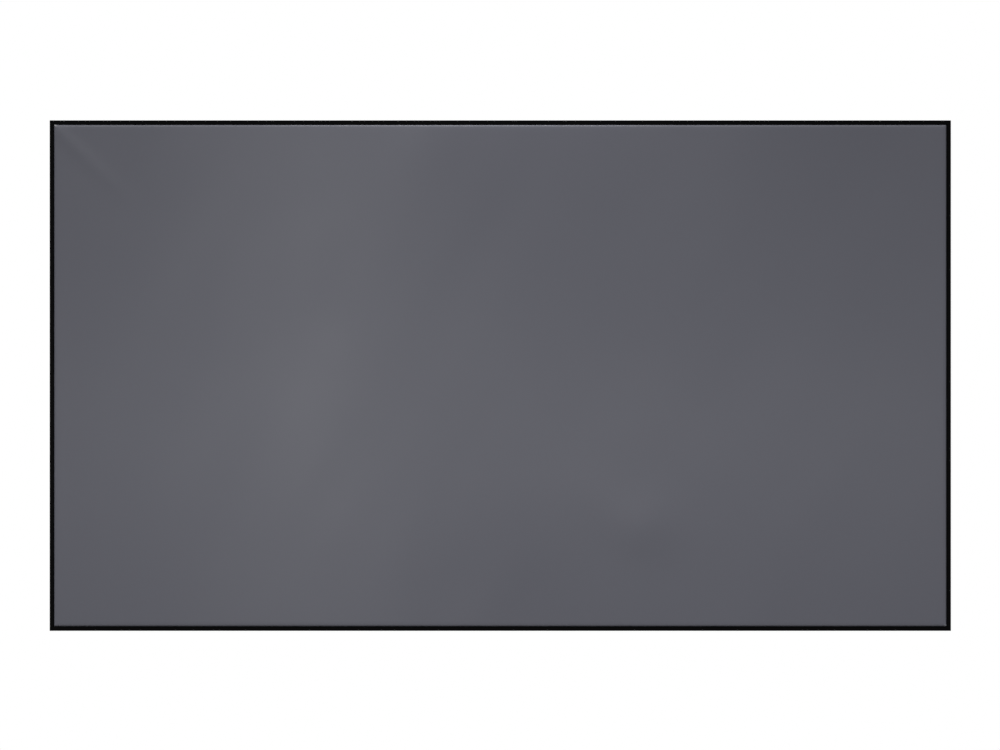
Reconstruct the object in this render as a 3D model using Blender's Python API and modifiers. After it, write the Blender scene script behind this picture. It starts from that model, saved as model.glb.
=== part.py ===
"""Fixed-frame projector screen, 100 inch class, 16:9, with a thin black bezel.

A grey screen sheet is stretched over an inner frame of hollow aluminium rails and folded round to
the back, where spring clips pull the rods in its hems towards a slot in each rail. A thin bezel
frame stands round the edge. Four hooks hold the screen on a wall.

The screen hangs upright and faces -Y. The origin is on the wall, behind the middle of the screen.

Every section is drawn with two measures: the inset, from the bezel's outer face towards the middle
of the screen, and the depth, from the front of the sheet towards the wall.
"""

import math

import bmesh
import bpy
from mathutils import Matrix, Vector

MM = 0.001
WELD_DISTANCE = 0.01 * MM

# Overall sizes
VIEW_WIDTH = 2214 * MM
VIEW_HEIGHT = 1245 * MM
FACE_TO_WALL = 38 * MM

# Clearances
SEAT_GAP = 0.3 * MM
MITRE_GAP = 0.2 * MM
JOINT_GAP = 0.3 * MM

# Bezel: a hollow box beside the sheet, with a flange behind the rail
BEZEL_WIDTH = 10 * MM
BEZEL_WALL = 1.2 * MM
BEZEL_SETBACK = 1.5 * MM
BEZEL_CHAMFER = 0.6 * MM
BEZEL_TO_SHEET = 0.5 * MM
BEZEL_FLANGE = 7.5 * MM
BEZEL_FLANGE_THICKNESS = 1.5 * MM

# Keys that hold the bezel's corners together from inside
KEY_LEG = 60 * MM
KEY_HEIGHT = 12 * MM

# Tongue fixed in one half of a long side's bezel, which slides into the other half
TONGUE_REACH = 35 * MM
TONGUE_ROOT = 30 * MM
TONGUE_NECK = 4 * MM
TONGUE_BITE = 0.3 * MM
TONGUE_CHAMFER = 1.5 * MM

# Screen sheet
SHEET_THICKNESS = 0.5 * MM
SHEET_NOSE_RADIUS = 6 * MM
SHEET_BACK_RADIUS = 2.8 * MM
SHEET_NOTCH = 36 * MM

# Rail: the hollow aluminium section under the sheet
RAIL_WIDTH = 42 * MM
RAIL_DEPTH = 25.2 * MM
RAIL_WALL = 1.6 * MM
RAIL_NOSE_LAND = 3 * MM
RAIL_RAMP = 2.8 * MM
RAIL_FRONT_STEP = 7.2 * MM

# Slot along the back of the rail
SLOT_OPENING = 12.6 * MM
SLOT_CHANNEL = 24 * MM
SLOT_DEPTH = 7 * MM
SLOT_LIP = 1.8 * MM
SLOT_TO_RAIL_EDGE = 2.3 * MM
SLOT_FLOOR = 1.5 * MM

# Brackets that lie in the slot, and their screws
BRACKET_THICKNESS = 3 * MM
BRACKET_SIDE_GAP = 0.6 * MM
CORNER_LEG = 95 * MM
CORNER_CHAMFER = 6 * MM
CORNER_SCREW_TO_CORNER = 40 * MM
CORNER_SCREW_TO_END = 15 * MM
JOINER_LENGTH = 160 * MM
JOINER_SCREW_TO_JOINT = 25 * MM
JOINER_SCREW_TO_END = 18 * MM
SCREW_RADIUS = 2 * MM
SCREW_HEAD_RADIUS = 3.7 * MM
SCREW_HEAD_HEIGHT = 2.4 * MM
SCREW_HEAD_CROWN = 1.2 * MM
SCREW_LENGTH = 8 * MM

# Tension rods and their spring clips
ROD_RADIUS = 2 * MM
ROD_TO_FLANGE = 4 * MM
ROD_TO_CORNER = 42 * MM
ROD_TO_MIDDLE = 3 * MM
CLIP_WIDTH = 16 * MM
CLIP_THICKNESS = 1.2 * MM
CLIP_BITE = 0.4 * MM
CLIP_PITCH = 170 * MM
CLIP_TO_ROD_END = 26 * MM
CLIP_TO_MIDDLE = 45 * MM
CLIP_TOE = 3.6 * MM
CLIP_BEND = 0.8 * MM
CLIP_RISE = 4.5 * MM
SLEEVE_END = math.radians(210)
WINDOW_WIDTH = 24 * MM
WINDOW_MARGIN = 0.7 * MM

# Upright support bar and its feet
BAR_WIDTH = 25 * MM
BAR_DEPTH = 14 * MM
BAR_WALL = 1.5 * MM
BAR_CORNER = 1.5 * MM
BAR_BEHIND_SHEET = 8 * MM
FOOT_SHOULDER = 3 * MM
FOOT_PLUG = 35 * MM
FOOT_TAB = 2.3 * MM
FOOT_LEG = 1.6 * MM
FOOT_TOE = 3 * MM

# Wall hooks
HOOK_WIDTH = 80 * MM
HOOK_THICKNESS = 2 * MM
HOOK_BEND = 3 * MM
HOOK_PLATE = 62 * MM
HOOK_TONGUE_GAP = 0.5 * MM
HOOK_HOLE_WIDTH = 6 * MM
HOOK_HOLE_LENGTH = 18 * MM
HOOK_HOLE_SPACING = 44 * MM
HOOK_HOLE_TO_EDGE = 16 * MM

# Places that follow from the sizes above
SHEET_SIDE = BEZEL_WIDTH + BEZEL_TO_SHEET
OUTER_WIDTH = VIEW_WIDTH + 2 * SHEET_SIDE
OUTER_HEIGHT = VIEW_HEIGHT + 2 * SHEET_SIDE
RAIL_SIDE = SHEET_SIDE + SHEET_THICKNESS + SEAT_GAP
RAIL_FRONT = SHEET_THICKNESS + SEAT_GAP
RAIL_BACK = RAIL_FRONT + RAIL_DEPTH
RAIL_INNER = RAIL_SIDE + RAIL_WIDTH
RAIL_PLATEAU = RAIL_FRONT + RAIL_FRONT_STEP
CHANNEL_INNER = RAIL_INNER - SLOT_TO_RAIL_EDGE
CHANNEL_OUTER = CHANNEL_INNER - SLOT_CHANNEL
SLOT_MIDDLE = (CHANNEL_INNER + CHANNEL_OUTER) / 2
OPENING_OUTER = SLOT_MIDDLE - SLOT_OPENING / 2
OPENING_INNER = SLOT_MIDDLE + SLOT_OPENING / 2
LIP_UNDERSIDE = RAIL_BACK - SLOT_LIP
CHANNEL_FLOOR = LIP_UNDERSIDE - SLOT_DEPTH
BRACKET_FRONT = CHANNEL_FLOOR + SEAT_GAP
BRACKET_BACK = BRACKET_FRONT + BRACKET_THICKNESS
BRACKET_WIDTH = SLOT_CHANNEL - 2 * BRACKET_SIDE_GAP
SHEET_BACK = RAIL_BACK + SEAT_GAP + SHEET_THICKNESS
SLEEVE_RADIUS = ROD_RADIUS + SEAT_GAP
ROD_INSET = BEZEL_WIDTH + BEZEL_FLANGE + ROD_TO_FLANGE
ROD_DEPTH = SHEET_BACK + SLEEVE_RADIUS
BEZEL_BACK = SHEET_BACK + SEAT_GAP + BEZEL_FLANGE_THICKNESS
KEY_LOW = BEZEL_WALL + SEAT_GAP
KEY_HIGH = BEZEL_WIDTH - BEZEL_WALL - SEAT_GAP
KEY_FRONT = (BEZEL_SETBACK + BEZEL_BACK - KEY_HEIGHT) / 2
KEY_BACK = KEY_FRONT + KEY_HEIGHT
BAR_FRONT = SHEET_THICKNESS + BAR_BEHIND_SHEET
BAR_END = RAIL_INNER + SEAT_GAP + FOOT_SHOULDER + SEAT_GAP

BACKWARD = Vector((0, 1, 0))
SIDES = {
    "top": Vector((0, 0, -1)),
    "bottom": Vector((0, 0, 1)),
    "left": Vector((1, 0, 0)),
    "right": Vector((-1, 0, 0)),
}
CORNERS = {
    "top_left": (SIDES["left"], SIDES["top"]),
    "top_right": (SIDES["top"], SIDES["right"]),
    "bottom_right": (SIDES["right"], SIDES["bottom"]),
    "bottom_left": (SIDES["bottom"], SIDES["left"]),
}

# Colours, as linear red, green and blue, with roughness and metallic
FINISHES = {
    "black_anodised": ((0.012, 0.012, 0.013), 0.45, 0.6),
    "satin_bezel": ((0.005, 0.005, 0.006), 0.5, 0.3),
    "grey_sheet": ((0.11, 0.112, 0.132), 0.6, 0.0),
    "zinc_steel": ((0.55, 0.56, 0.57), 0.35, 1.0),
    "spring_steel": ((0.42, 0.43, 0.45), 0.3, 1.0),
    "black_steel": ((0.02, 0.02, 0.02), 0.5, 0.4),
    "black_nylon": ((0.018, 0.018, 0.019), 0.55, 0.0),
}


def clear_scene():
    for obj in list(bpy.data.objects):
        bpy.data.objects.remove(obj, do_unlink=True)


def new_collection(name):
    collection = bpy.data.collections.new(name)
    bpy.context.scene.collection.children.link(collection)
    return collection


def finish(name):
    """The material of that name, made the first time it is asked for."""
    material = bpy.data.materials.get(name)
    if material:
        return material
    colour, roughness, metallic = FINISHES[name]
    material = bpy.data.materials.new(name)
    material.use_nodes = True
    shader = material.node_tree.nodes["Principled BSDF"]
    shader.inputs["Base Color"].default_value = (*colour, 1)
    shader.inputs["Roughness"].default_value = roughness
    shader.inputs["Metallic"].default_value = metallic
    return material


def new_object(name, data, material, parent=None):
    obj = bpy.data.objects.new(name, data)
    SCREEN.objects.link(obj)
    obj.parent = parent
    if not data.materials:
        data.materials.append(finish(material))
    return obj


def new_cutter(name, mesh):
    """A helper that a Boolean reads and that isn't part of the object."""
    obj = bpy.data.objects.new(name, mesh)
    CUTTERS.objects.link(obj)
    obj.hide_render = True
    obj.display_type = "WIRE"
    return obj


def boolean(obj, other, operation):
    modifier = obj.modifiers.new(operation.lower(), "BOOLEAN")
    modifier.operation = operation
    modifier.object = other


def solidify(obj, thickness, offset):
    modifier = obj.modifiers.new("thickness", "SOLIDIFY")
    modifier.thickness = thickness
    modifier.offset = offset
    modifier.use_even_offset = True


def shade_round(mesh):
    mesh.shade_smooth()
    mesh.set_sharp_from_angle(angle=math.radians(35))


def level_shading(obj):
    """Large flat faces stay flat in the shading where cuts meet them."""
    modifier = obj.modifiers.new("normals", "WEIGHTED_NORMAL")
    modifier.keep_sharp = True


def arc(centre, radius, start, end, steps):
    """Points on an arc. An angle of 0 points along the first measure and 90 degrees along the second."""
    angles = [start + (end - start) * i / steps for i in range(steps + 1)]
    return [Vector(centre) + radius * Vector((math.cos(a), math.sin(a))) for a in angles]


def filleted(corners, radii, steps):
    """The path through these corners, each inner one rounded to its radius."""
    points = [Vector(corner) for corner in corners]
    path = [points[0]]
    for before, corner, after, radius in zip(points, points[1:], points[2:], radii):
        arrive = (corner - before).normalized()
        leave = (after - corner).normalized()
        turn = math.atan2(arrive.cross(leave), arrive.dot(leave))
        start = corner - arrive * radius * math.tan(abs(turn) / 2)
        across = math.copysign(1, turn) * Vector((-arrive.y, arrive.x))
        centre = start + across * radius
        first = math.atan2(-across.y, -across.x)
        path += arc(centre, radius, first, first + turn, steps)
    return [*path, points[-1]]


def rounded_box(low, high, radius, steps):
    """A closed outline of a box with round corners."""
    quarter = math.pi / 2
    middles = [
        (high[0] - radius, high[1] - radius),
        (low[0] + radius, high[1] - radius),
        (low[0] + radius, low[1] + radius),
        (high[0] - radius, low[1] + radius),
    ]
    return [
        point
        for i, middle in enumerate(middles)
        for point in arc(middle, radius, i * quarter, (i + 1) * quarter, steps)
    ]


def circle(centre, radius, sides=8):
    return arc(centre, radius, 0, 2 * math.pi * (sides - 1) / sides, sides - 1)


def mesh_from_loops(name, loops, cyclic):
    """Extrudes flat loops to 1 on both sides of zero, filled with their holes if they are closed."""
    curve = bpy.data.curves.new(name, "CURVE")
    curve.dimensions = "2D"
    curve.fill_mode = "BOTH" if cyclic else "NONE"
    curve.extrude = 1
    for loop in loops:
        spline = curve.splines.new("POLY")
        spline.points.add(len(loop) - 1)
        spline.use_cyclic_u = cyclic
        for point, place in zip(spline.points, loop):
            point.co = (place[0], place[1], 0, 1)
    guide = bpy.data.objects.new(name, curve)
    SCREEN.objects.link(guide)
    graph = bpy.context.evaluated_depsgraph_get()
    mesh = bpy.data.meshes.new_from_object(guide.evaluated_get(graph))
    bpy.data.objects.remove(guide)
    work = bmesh.new()
    work.from_mesh(mesh)
    bmesh.ops.remove_doubles(work, verts=work.verts, dist=WELD_DISTANCE)
    if cyclic:
        bmesh.ops.recalc_face_normals(work, faces=work.faces)
    work.to_mesh(mesh)
    work.free()
    mesh.name = name
    shade_round(mesh)
    return mesh


def set_ends(mesh, low, high):
    """Moves the ends of an extruded mesh. Each end is a number, or a function of the inset for a mitre."""
    for vertex in mesh.vertices:
        end = high if vertex.co.z > 0 else low
        vertex.co.z = end(vertex.co.x) if callable(end) else end


def extruded(name, loops, low, high):
    mesh = mesh_from_loops(name, loops, True)
    set_ends(mesh, low, high)
    return mesh


def ribbon(name, path, low, high):
    """An open surface: the path extruded from low to high."""
    mesh = mesh_from_loops(name, [path], False)
    set_ends(mesh, low, high)
    return mesh


def joined_mesh(name, placed_meshes):
    """One mesh from several, each with the matrix that places it."""
    work = bmesh.new()
    for mesh, matrix in placed_meshes:
        copy = mesh.copy()
        copy.transform(matrix)
        work.from_mesh(copy)
        bpy.data.meshes.remove(copy)
    bmesh.ops.remove_doubles(work, verts=work.verts, dist=WELD_DISTANCE)
    result = bpy.data.meshes.new(name)
    work.to_mesh(result)
    work.free()
    return result


def half_across(side):
    """From the middle of the screen to this side's outer face."""
    return (OUTER_WIDTH if SIDES[side].x else OUTER_HEIGHT) / 2


def half_along(side):
    """Half the length of this side, measured at the outer face."""
    return (OUTER_HEIGHT if SIDES[side].x else OUTER_WIDTH) / 2


def axes_matrix(x, y, z, origin):
    return Matrix.Translation(origin) @ Matrix((x, y, z)).transposed().to_4x4()


def front_point(point):
    return Vector(point) - FACE_TO_WALL * BACKWARD


def side_empty(side):
    """Its X is the inset, its Y the depth, and its Z runs along the side."""
    inward = SIDES[side]
    empty = bpy.data.objects.new("side_" + side, None)
    SCREEN.objects.link(empty)
    origin = front_point(-inward * half_across(side))
    empty.matrix_world = axes_matrix(inward, BACKWARD, inward.cross(BACKWARD), origin)
    return empty


def corner_empty(corner):
    """Its X and Y are the insets from the corner's two sides, and its Z is the depth."""
    first, second = CORNERS[corner]
    empty = bpy.data.objects.new("corner_" + corner, None)
    SCREEN.objects.link(empty)
    outer = -Vector((OUTER_WIDTH * (first + second).x, 0, OUTER_HEIGHT * (first + second).z)) / 2
    empty.matrix_world = axes_matrix(first, second, BACKWARD, front_point(outer))
    return empty


def mitre(side, sign):
    """The end of a bar that meets its neighbour at 45 degrees, as a function of the inset."""
    return lambda inset: sign * (half_along(side) - inset - MITRE_GAP)


def side_pieces(side):
    """Each side's bars: the name, and the low and high ends. The long sides are in two halves."""
    if SIDES[side].x:
        return [(side, mitre(side, -1), mitre(side, 1))]
    right = SIDES[side].cross(BACKWARD).x
    return [
        (side + ("_right" if sign == right else "_left"), *sorted_ends(side, sign))
        for sign in (-1, 1)
    ]


def sorted_ends(side, sign):
    joint = sign * JOINT_GAP / 2
    return (mitre(side, -1), joint) if sign < 0 else (joint, mitre(side, 1))


def rod_spans(side):
    """Each rod on a side: the name, and where it starts and ends along the side."""
    far = half_along(side) - ROD_TO_CORNER
    if SIDES[side].x:
        return [(side, -far, far)]
    right = SIDES[side].cross(BACKWARD).x
    return [
        (side + ("_right" if sign == right else "_left"), *sorted((sign * ROD_TO_MIDDLE, sign * far)))
        for sign in (-1, 1)
    ]


def clip_places(start, end):
    """Where the clips grip a rod, evenly spaced and clear of its ends."""
    low = start + (CLIP_TO_MIDDLE if abs(start) < CLIP_TO_MIDDLE else CLIP_TO_ROD_END)
    high = end - (CLIP_TO_MIDDLE if abs(end) < CLIP_TO_MIDDLE else CLIP_TO_ROD_END)
    gaps = max(1, round((high - low) / CLIP_PITCH))
    return [low + (high - low) * i / gaps for i in range(gaps + 1)]


def rail_section():
    """The rail's outline with its slot, and its two hollow chambers."""
    nose_radius = SHEET_NOSE_RADIUS - SHEET_THICKNESS - SEAT_GAP
    back_radius = SHEET_BACK_RADIUS - SHEET_THICKNESS - SEAT_GAP
    nose = (RAIL_SIDE + nose_radius, RAIL_FRONT + nose_radius)
    heel = (RAIL_SIDE + back_radius, RAIL_BACK - back_radius)
    land_end = nose[0] + RAIL_NOSE_LAND
    outline = [
        *arc(nose, nose_radius, math.pi, 1.5 * math.pi, 5),
        (land_end, RAIL_FRONT),
        (land_end + RAIL_RAMP, RAIL_PLATEAU),
        (RAIL_INNER, RAIL_PLATEAU),
        (RAIL_INNER, RAIL_BACK),
        (OPENING_INNER, RAIL_BACK),
        (OPENING_INNER, LIP_UNDERSIDE),
        (CHANNEL_INNER, LIP_UNDERSIDE),
        (CHANNEL_INNER, CHANNEL_FLOOR),
        (CHANNEL_OUTER, CHANNEL_FLOOR),
        (CHANNEL_OUTER, LIP_UNDERSIDE),
        (OPENING_OUTER, LIP_UNDERSIDE),
        (OPENING_OUTER, RAIL_BACK),
        *arc(heel, back_radius, math.pi / 2, math.pi, 3),
    ]
    web = CHANNEL_OUTER - SLOT_FLOOR
    outer_chamber = [
        *arc(nose, nose_radius - RAIL_WALL, math.pi, 1.5 * math.pi, 4),
        (land_end - RAIL_WALL / 2, RAIL_FRONT + RAIL_WALL),
        (land_end + RAIL_RAMP - 0.6 * RAIL_WALL, RAIL_PLATEAU + RAIL_WALL),
        (web, RAIL_PLATEAU + RAIL_WALL),
        (web, RAIL_BACK - RAIL_WALL),
        (heel[0], RAIL_BACK - RAIL_WALL),
        (RAIL_SIDE + RAIL_WALL, heel[1]),
    ]
    inner_chamber = [
        (CHANNEL_OUTER, RAIL_PLATEAU + RAIL_WALL),
        (RAIL_INNER - RAIL_WALL, RAIL_PLATEAU + RAIL_WALL),
        (RAIL_INNER - RAIL_WALL, CHANNEL_FLOOR - SLOT_FLOOR),
        (CHANNEL_OUTER, CHANNEL_FLOOR - SLOT_FLOOR),
    ]
    return [outline, outer_chamber, inner_chamber]


def bezel_section():
    flange_edge = BEZEL_WIDTH + BEZEL_FLANGE
    outline = [
        (BEZEL_CHAMFER, BEZEL_SETBACK),
        (BEZEL_WIDTH - BEZEL_CHAMFER, BEZEL_SETBACK),
        (BEZEL_WIDTH, BEZEL_SETBACK + BEZEL_CHAMFER),
        (BEZEL_WIDTH, BEZEL_BACK - BEZEL_FLANGE_THICKNESS),
        (flange_edge, BEZEL_BACK - BEZEL_FLANGE_THICKNESS),
        (flange_edge, BEZEL_BACK),
        (BEZEL_CHAMFER, BEZEL_BACK),
        (0, BEZEL_BACK - BEZEL_CHAMFER),
        (0, BEZEL_SETBACK + BEZEL_CHAMFER),
    ]
    hollow = [
        (BEZEL_WALL, BEZEL_SETBACK + BEZEL_WALL),
        (BEZEL_WIDTH - BEZEL_WALL, BEZEL_SETBACK + BEZEL_WALL),
        (BEZEL_WIDTH - BEZEL_WALL, BEZEL_BACK - BEZEL_WALL),
        (BEZEL_WALL, BEZEL_BACK - BEZEL_WALL),
    ]
    return [outline, hollow]


def make_tongue(name, empty):
    """A key with a wide root that is set in the walls of one half and a nose that slides into the other."""
    wide_low = BEZEL_WALL - TONGUE_BITE
    wide_high = BEZEL_WIDTH - BEZEL_WALL + TONGUE_BITE
    tip = TONGUE_REACH - TONGUE_CHAMFER
    outline = [
        (wide_low, -TONGUE_ROOT),
        (wide_high, -TONGUE_ROOT),
        (wide_high, -TONGUE_NECK),
        (KEY_HIGH, -TONGUE_NECK),
        (KEY_HIGH, tip),
        (KEY_HIGH - TONGUE_CHAMFER, TONGUE_REACH),
        (KEY_LOW + TONGUE_CHAMFER, TONGUE_REACH),
        (KEY_LOW, tip),
        (KEY_LOW, -TONGUE_NECK),
        (wide_low, -TONGUE_NECK),
    ]
    tongue = new_cutter("tongue_" + name, extruded("tongue_" + name, [outline], -KEY_BACK, -KEY_FRONT))
    tongue.parent = empty
    tongue.rotation_euler = (math.pi / 2, 0, 0)
    return tongue


def make_bars(side, empty, screw_holes):
    """The rails and the bezel along one side."""
    for name, low, high in side_pieces(side):
        rail = extruded("rail_" + name, rail_section(), low, high)
        rail_object = new_object("rail_" + name, rail, "black_anodised", empty)
        boolean(rail_object, screw_holes, "DIFFERENCE")
        bezel = extruded("bezel_" + name, bezel_section(), low, high)
        bezel_object = new_object("bezel_" + name, bezel, "satin_bezel", empty)
        if high == -JOINT_GAP / 2:
            boolean(bezel_object, make_tongue(name, empty), "UNION")


def screw_mesh():
    """Half the section of a pan-head screw. Its seat is at zero and its head points along +Z."""
    profile = [
        (0, SCREW_HEAD_HEIGHT),
        (SCREW_HEAD_RADIUS - SCREW_HEAD_CROWN, SCREW_HEAD_HEIGHT),
        (SCREW_HEAD_RADIUS, SCREW_HEAD_HEIGHT - SCREW_HEAD_CROWN),
        (SCREW_HEAD_RADIUS, 0),
        (SCREW_RADIUS, 0),
        (SCREW_RADIUS, -SCREW_LENGTH),
        (0, -SCREW_LENGTH),
    ]
    mesh = bpy.data.meshes.new("pan_head_screw")
    work = bmesh.new()
    points = [work.verts.new((radius, 0, height)) for radius, height in profile]
    for first, second in zip(points, points[1:]):
        work.edges.new((first, second))
    work.to_mesh(mesh)
    work.free()
    return mesh


def make_screw(name, mesh, parent, place, along_depth):
    """along_depth is the turn that points the head at the wall in the parent's axes."""
    screw = new_object(name, mesh, "zinc_steel", parent)
    screw.location = place
    screw.rotation_euler = along_depth
    turn = screw.modifiers.new("turn", "SCREW")
    turn.steps = 8
    turn.render_steps = 8
    turn.use_merge_vertices = True
    turn.merge_threshold = WELD_DISTANCE
    return screw


def corner_screw_places():
    """Insets from the corner's two sides."""
    corner = CHANNEL_OUTER + BRACKET_SIDE_GAP
    along = [corner + CORNER_SCREW_TO_CORNER, corner + CORNER_LEG - CORNER_SCREW_TO_END]
    return [(SLOT_MIDDLE, far) for far in along] + [(far, SLOT_MIDDLE) for far in along]


def joiner_screw_places():
    outer = JOINER_LENGTH / 2 - JOINER_SCREW_TO_END
    return [sign * distance for sign in (-1, 1) for distance in (JOINER_SCREW_TO_JOINT, outer)]


def screw_hole_cutters(sides, corners):
    """A drill through the slot's floor at each screw."""
    hole = circle((0, 0), SCREW_RADIUS + SEAT_GAP)
    drill = extruded("drill", [hole], CHANNEL_FLOOR - 2 * SLOT_FLOOR, BRACKET_FRONT)
    to_side = Matrix.Rotation(-math.pi / 2, 4, "X")
    placed = [
        (drill, corner.matrix_world @ Matrix.Translation((*place, 0)))
        for corner in corners.values()
        for place in corner_screw_places()
    ]
    placed += [
        (drill, sides[side].matrix_world @ Matrix.Translation((SLOT_MIDDLE, 0, place)) @ to_side)
        for side in ("top", "bottom")
        for place in joiner_screw_places()
    ]
    return new_cutter("screw_holes", joined_mesh("screw_holes", placed))


def make_corner(corner, empty, screw):
    """The bracket in the rails' slots with its screws, and the key inside the bezel."""
    low = CHANNEL_OUTER + BRACKET_SIDE_GAP
    high = low + BRACKET_WIDTH
    end = low + CORNER_LEG
    outline = [
        (low + CORNER_CHAMFER, low),
        (end, low),
        (end, high),
        (high, high),
        (high, end),
        (low, end),
        (low, low + CORNER_CHAMFER),
    ]
    holes = [circle(place, SCREW_RADIUS + SEAT_GAP) for place in corner_screw_places()]
    name = "corner_bracket_" + corner
    bracket = extruded(name, [outline, *holes], BRACKET_FRONT, BRACKET_BACK)
    new_object(name, bracket, "zinc_steel", empty)
    for number, place in enumerate(corner_screw_places(), 1):
        seat = (*place, BRACKET_BACK + SEAT_GAP)
        make_screw(f"{name}_screw_{number}", screw, empty, seat, (0, 0, 0))

    key_outline = [
        (KEY_LOW, KEY_LOW),
        (KEY_LEG, KEY_LOW),
        (KEY_LEG, KEY_HIGH),
        (KEY_HIGH, KEY_HIGH),
        (KEY_HIGH, KEY_LEG),
        (KEY_LOW, KEY_LEG),
    ]
    key = extruded("bezel_key_" + corner, [key_outline], KEY_FRONT, KEY_BACK)
    new_object("bezel_key_" + corner, key, "black_nylon", empty)


def make_joiner(side, empty, screw):
    """The straight bar in the slot across the joint of a long side."""
    low = CHANNEL_OUTER + BRACKET_SIDE_GAP
    half = JOINER_LENGTH / 2
    outline = [(low, -half), (low + BRACKET_WIDTH, -half), (low + BRACKET_WIDTH, half), (low, half)]
    holes = [circle((SLOT_MIDDLE, place), SCREW_RADIUS + SEAT_GAP) for place in joiner_screw_places()]
    bar = extruded("joiner_" + side, [outline, *holes], -BRACKET_BACK, -BRACKET_FRONT)
    joiner = new_object("joiner_" + side, bar, "zinc_steel", empty)
    joiner.rotation_euler = (math.pi / 2, 0, 0)
    for number, place in enumerate(joiner_screw_places(), 1):
        seat = (SLOT_MIDDLE, BRACKET_BACK + SEAT_GAP, place)
        name = f"joiner_{side}_screw_{number}"
        make_screw(name, screw, empty, seat, (-math.pi / 2, 0, 0))


def clip_path():
    """A clip's bent strip, from its hook over the rod, across the rail's back, to its toe in the slot."""
    hook_radius = ROD_RADIUS + CLIP_THICKNESS / 2 - CLIP_BITE
    leg = OPENING_OUTER + SEAT_GAP + CLIP_THICKNESS / 2
    toe_depth = LIP_UNDERSIDE - SEAT_GAP - CLIP_THICKNESS / 2
    hook = arc((ROD_INSET, ROD_DEPTH), hook_radius, 1.25 * math.pi, 0.5 * math.pi, 4)
    arm = [
        hook[-1],
        (leg - CLIP_RISE, ROD_DEPTH + hook_radius),
        (leg, RAIL_BACK + SEAT_GAP),
        (leg, toe_depth),
        (leg - CLIP_TOE, toe_depth),
    ]
    return hook[:-1] + filleted(arm, [CLIP_BEND] * 3, 1)


def make_rods(side, empty):
    """Each tension rod, as one solid with the spring clips that grip it."""
    for name, start, end in rod_spans(side):
        rod_mesh = extruded("rod_" + name, [circle((ROD_INSET, ROD_DEPTH), ROD_RADIUS)], start, end)
        rod = new_object("tension_rod_" + name, rod_mesh, "spring_steel", empty)
        strip = ribbon("clip", clip_path(), -CLIP_WIDTH / 2, CLIP_WIDTH / 2)
        places = clip_places(start, end)
        strips = joined_mesh("clips_" + name, [(strip, Matrix.Translation((0, 0, at))) for at in places])
        clips = new_cutter("clips_" + name, strips)
        clips.parent = empty
        solidify(clips, CLIP_THICKNESS, 0)
        boolean(rod, clips, "UNION")
        level_shading(rod)


def sheet_path():
    """The sheet's outer face in section: round the rail's nose, down its side, over its back, and round the rod."""
    flat_edge = SHEET_SIDE + SHEET_NOSE_RADIUS
    corners = [
        (flat_edge, 0),
        (SHEET_SIDE, 0),
        (SHEET_SIDE, SHEET_BACK),
        (ROD_INSET, SHEET_BACK),
    ]
    wrap = filleted(corners, [SHEET_NOSE_RADIUS], 6)[1:-1]
    heel = filleted(corners[1:], [SHEET_BACK_RADIUS], 3)[1:-1]
    sleeve = arc((ROD_INSET, ROD_DEPTH), SLEEVE_RADIUS, -math.pi / 2, SLEEVE_END, 7)
    return wrap[:7] + heel + sleeve


def box_mesh(name, low, high):
    mesh = bpy.data.meshes.new(name)
    work = bmesh.new()
    bmesh.ops.create_cube(work, size=1)
    middle = (Vector(low) + Vector(high)) / 2
    size = Vector(high) - Vector(low)
    work.transform(Matrix.Translation(middle) @ Matrix.Diagonal((*size, 1)))
    work.to_mesh(mesh)
    work.free()
    return mesh


def sheet_cutters(sides, corners):
    """The windows where the clips reach the rods, and the notches where two hems would meet."""
    window_low = ROD_INSET - ROD_RADIUS - CLIP_THICKNESS - WINDOW_MARGIN
    window_high = ROD_INSET + 2 * SLEEVE_RADIUS
    above = RAIL_BACK - SEAT_GAP
    beyond = ROD_DEPTH + 3 * SLEEVE_RADIUS
    window = box_mesh("window", (window_low, above, -WINDOW_WIDTH / 2), (window_high, beyond, WINDOW_WIDTH / 2))
    placed = [
        (window, sides[side].matrix_world @ Matrix.Translation((0, 0, at)))
        for side in SIDES
        for _, start, end in rod_spans(side)
        for at in clip_places(start, end)
    ]
    notch = box_mesh("notch", (0, 0, RAIL_BACK - SHEET_BACK_RADIUS), (SHEET_NOTCH, SHEET_NOTCH, beyond))
    placed += [(notch, corners[corner].matrix_world) for corner in CORNERS]
    return new_cutter("sheet_cuts", joined_mesh("sheet_cuts", placed))


def make_sheet(sides, corners):
    """One sheet: a flat face and four wrapped edges, mitred where two of them meet."""
    placed = []
    for side in SIDES:
        half = half_along(side)
        wrap = ribbon("wrap", sheet_path(), lambda inset, h=half: inset - h, lambda inset, h=half: h - inset)
        placed.append((wrap, sides[side].matrix_world))
    flat_edge = SHEET_SIDE + SHEET_NOSE_RADIUS
    work = bmesh.new()
    bmesh.ops.create_grid(work, x_segments=1, y_segments=1, size=1)
    flat = bpy.data.meshes.new("flat")
    work.to_mesh(flat)
    work.free()
    size = Matrix.Diagonal((OUTER_WIDTH / 2 - flat_edge, OUTER_HEIGHT / 2 - flat_edge, 1, 1))
    placed.append((flat, Matrix.Translation(front_point((0, 0, 0))) @ Matrix.Rotation(math.pi / 2, 4, "X") @ size))
    mesh = joined_mesh("screen_sheet", placed)

    work = bmesh.new()
    work.from_mesh(mesh)
    bmesh.ops.recalc_face_normals(work, faces=work.faces)
    front = max(work.faces, key=lambda face: face.calc_area())
    if front.normal.dot(BACKWARD) > 0:
        bmesh.ops.reverse_faces(work, faces=work.faces)
    work.to_mesh(mesh)
    work.free()
    shade_round(mesh)
    sheet = new_object("screen_sheet", mesh, "grey_sheet")
    solidify(sheet, SHEET_THICKNESS, -1)
    boolean(sheet, sheet_cutters(sides, corners), "DIFFERENCE")
    level_shading(sheet)


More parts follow.
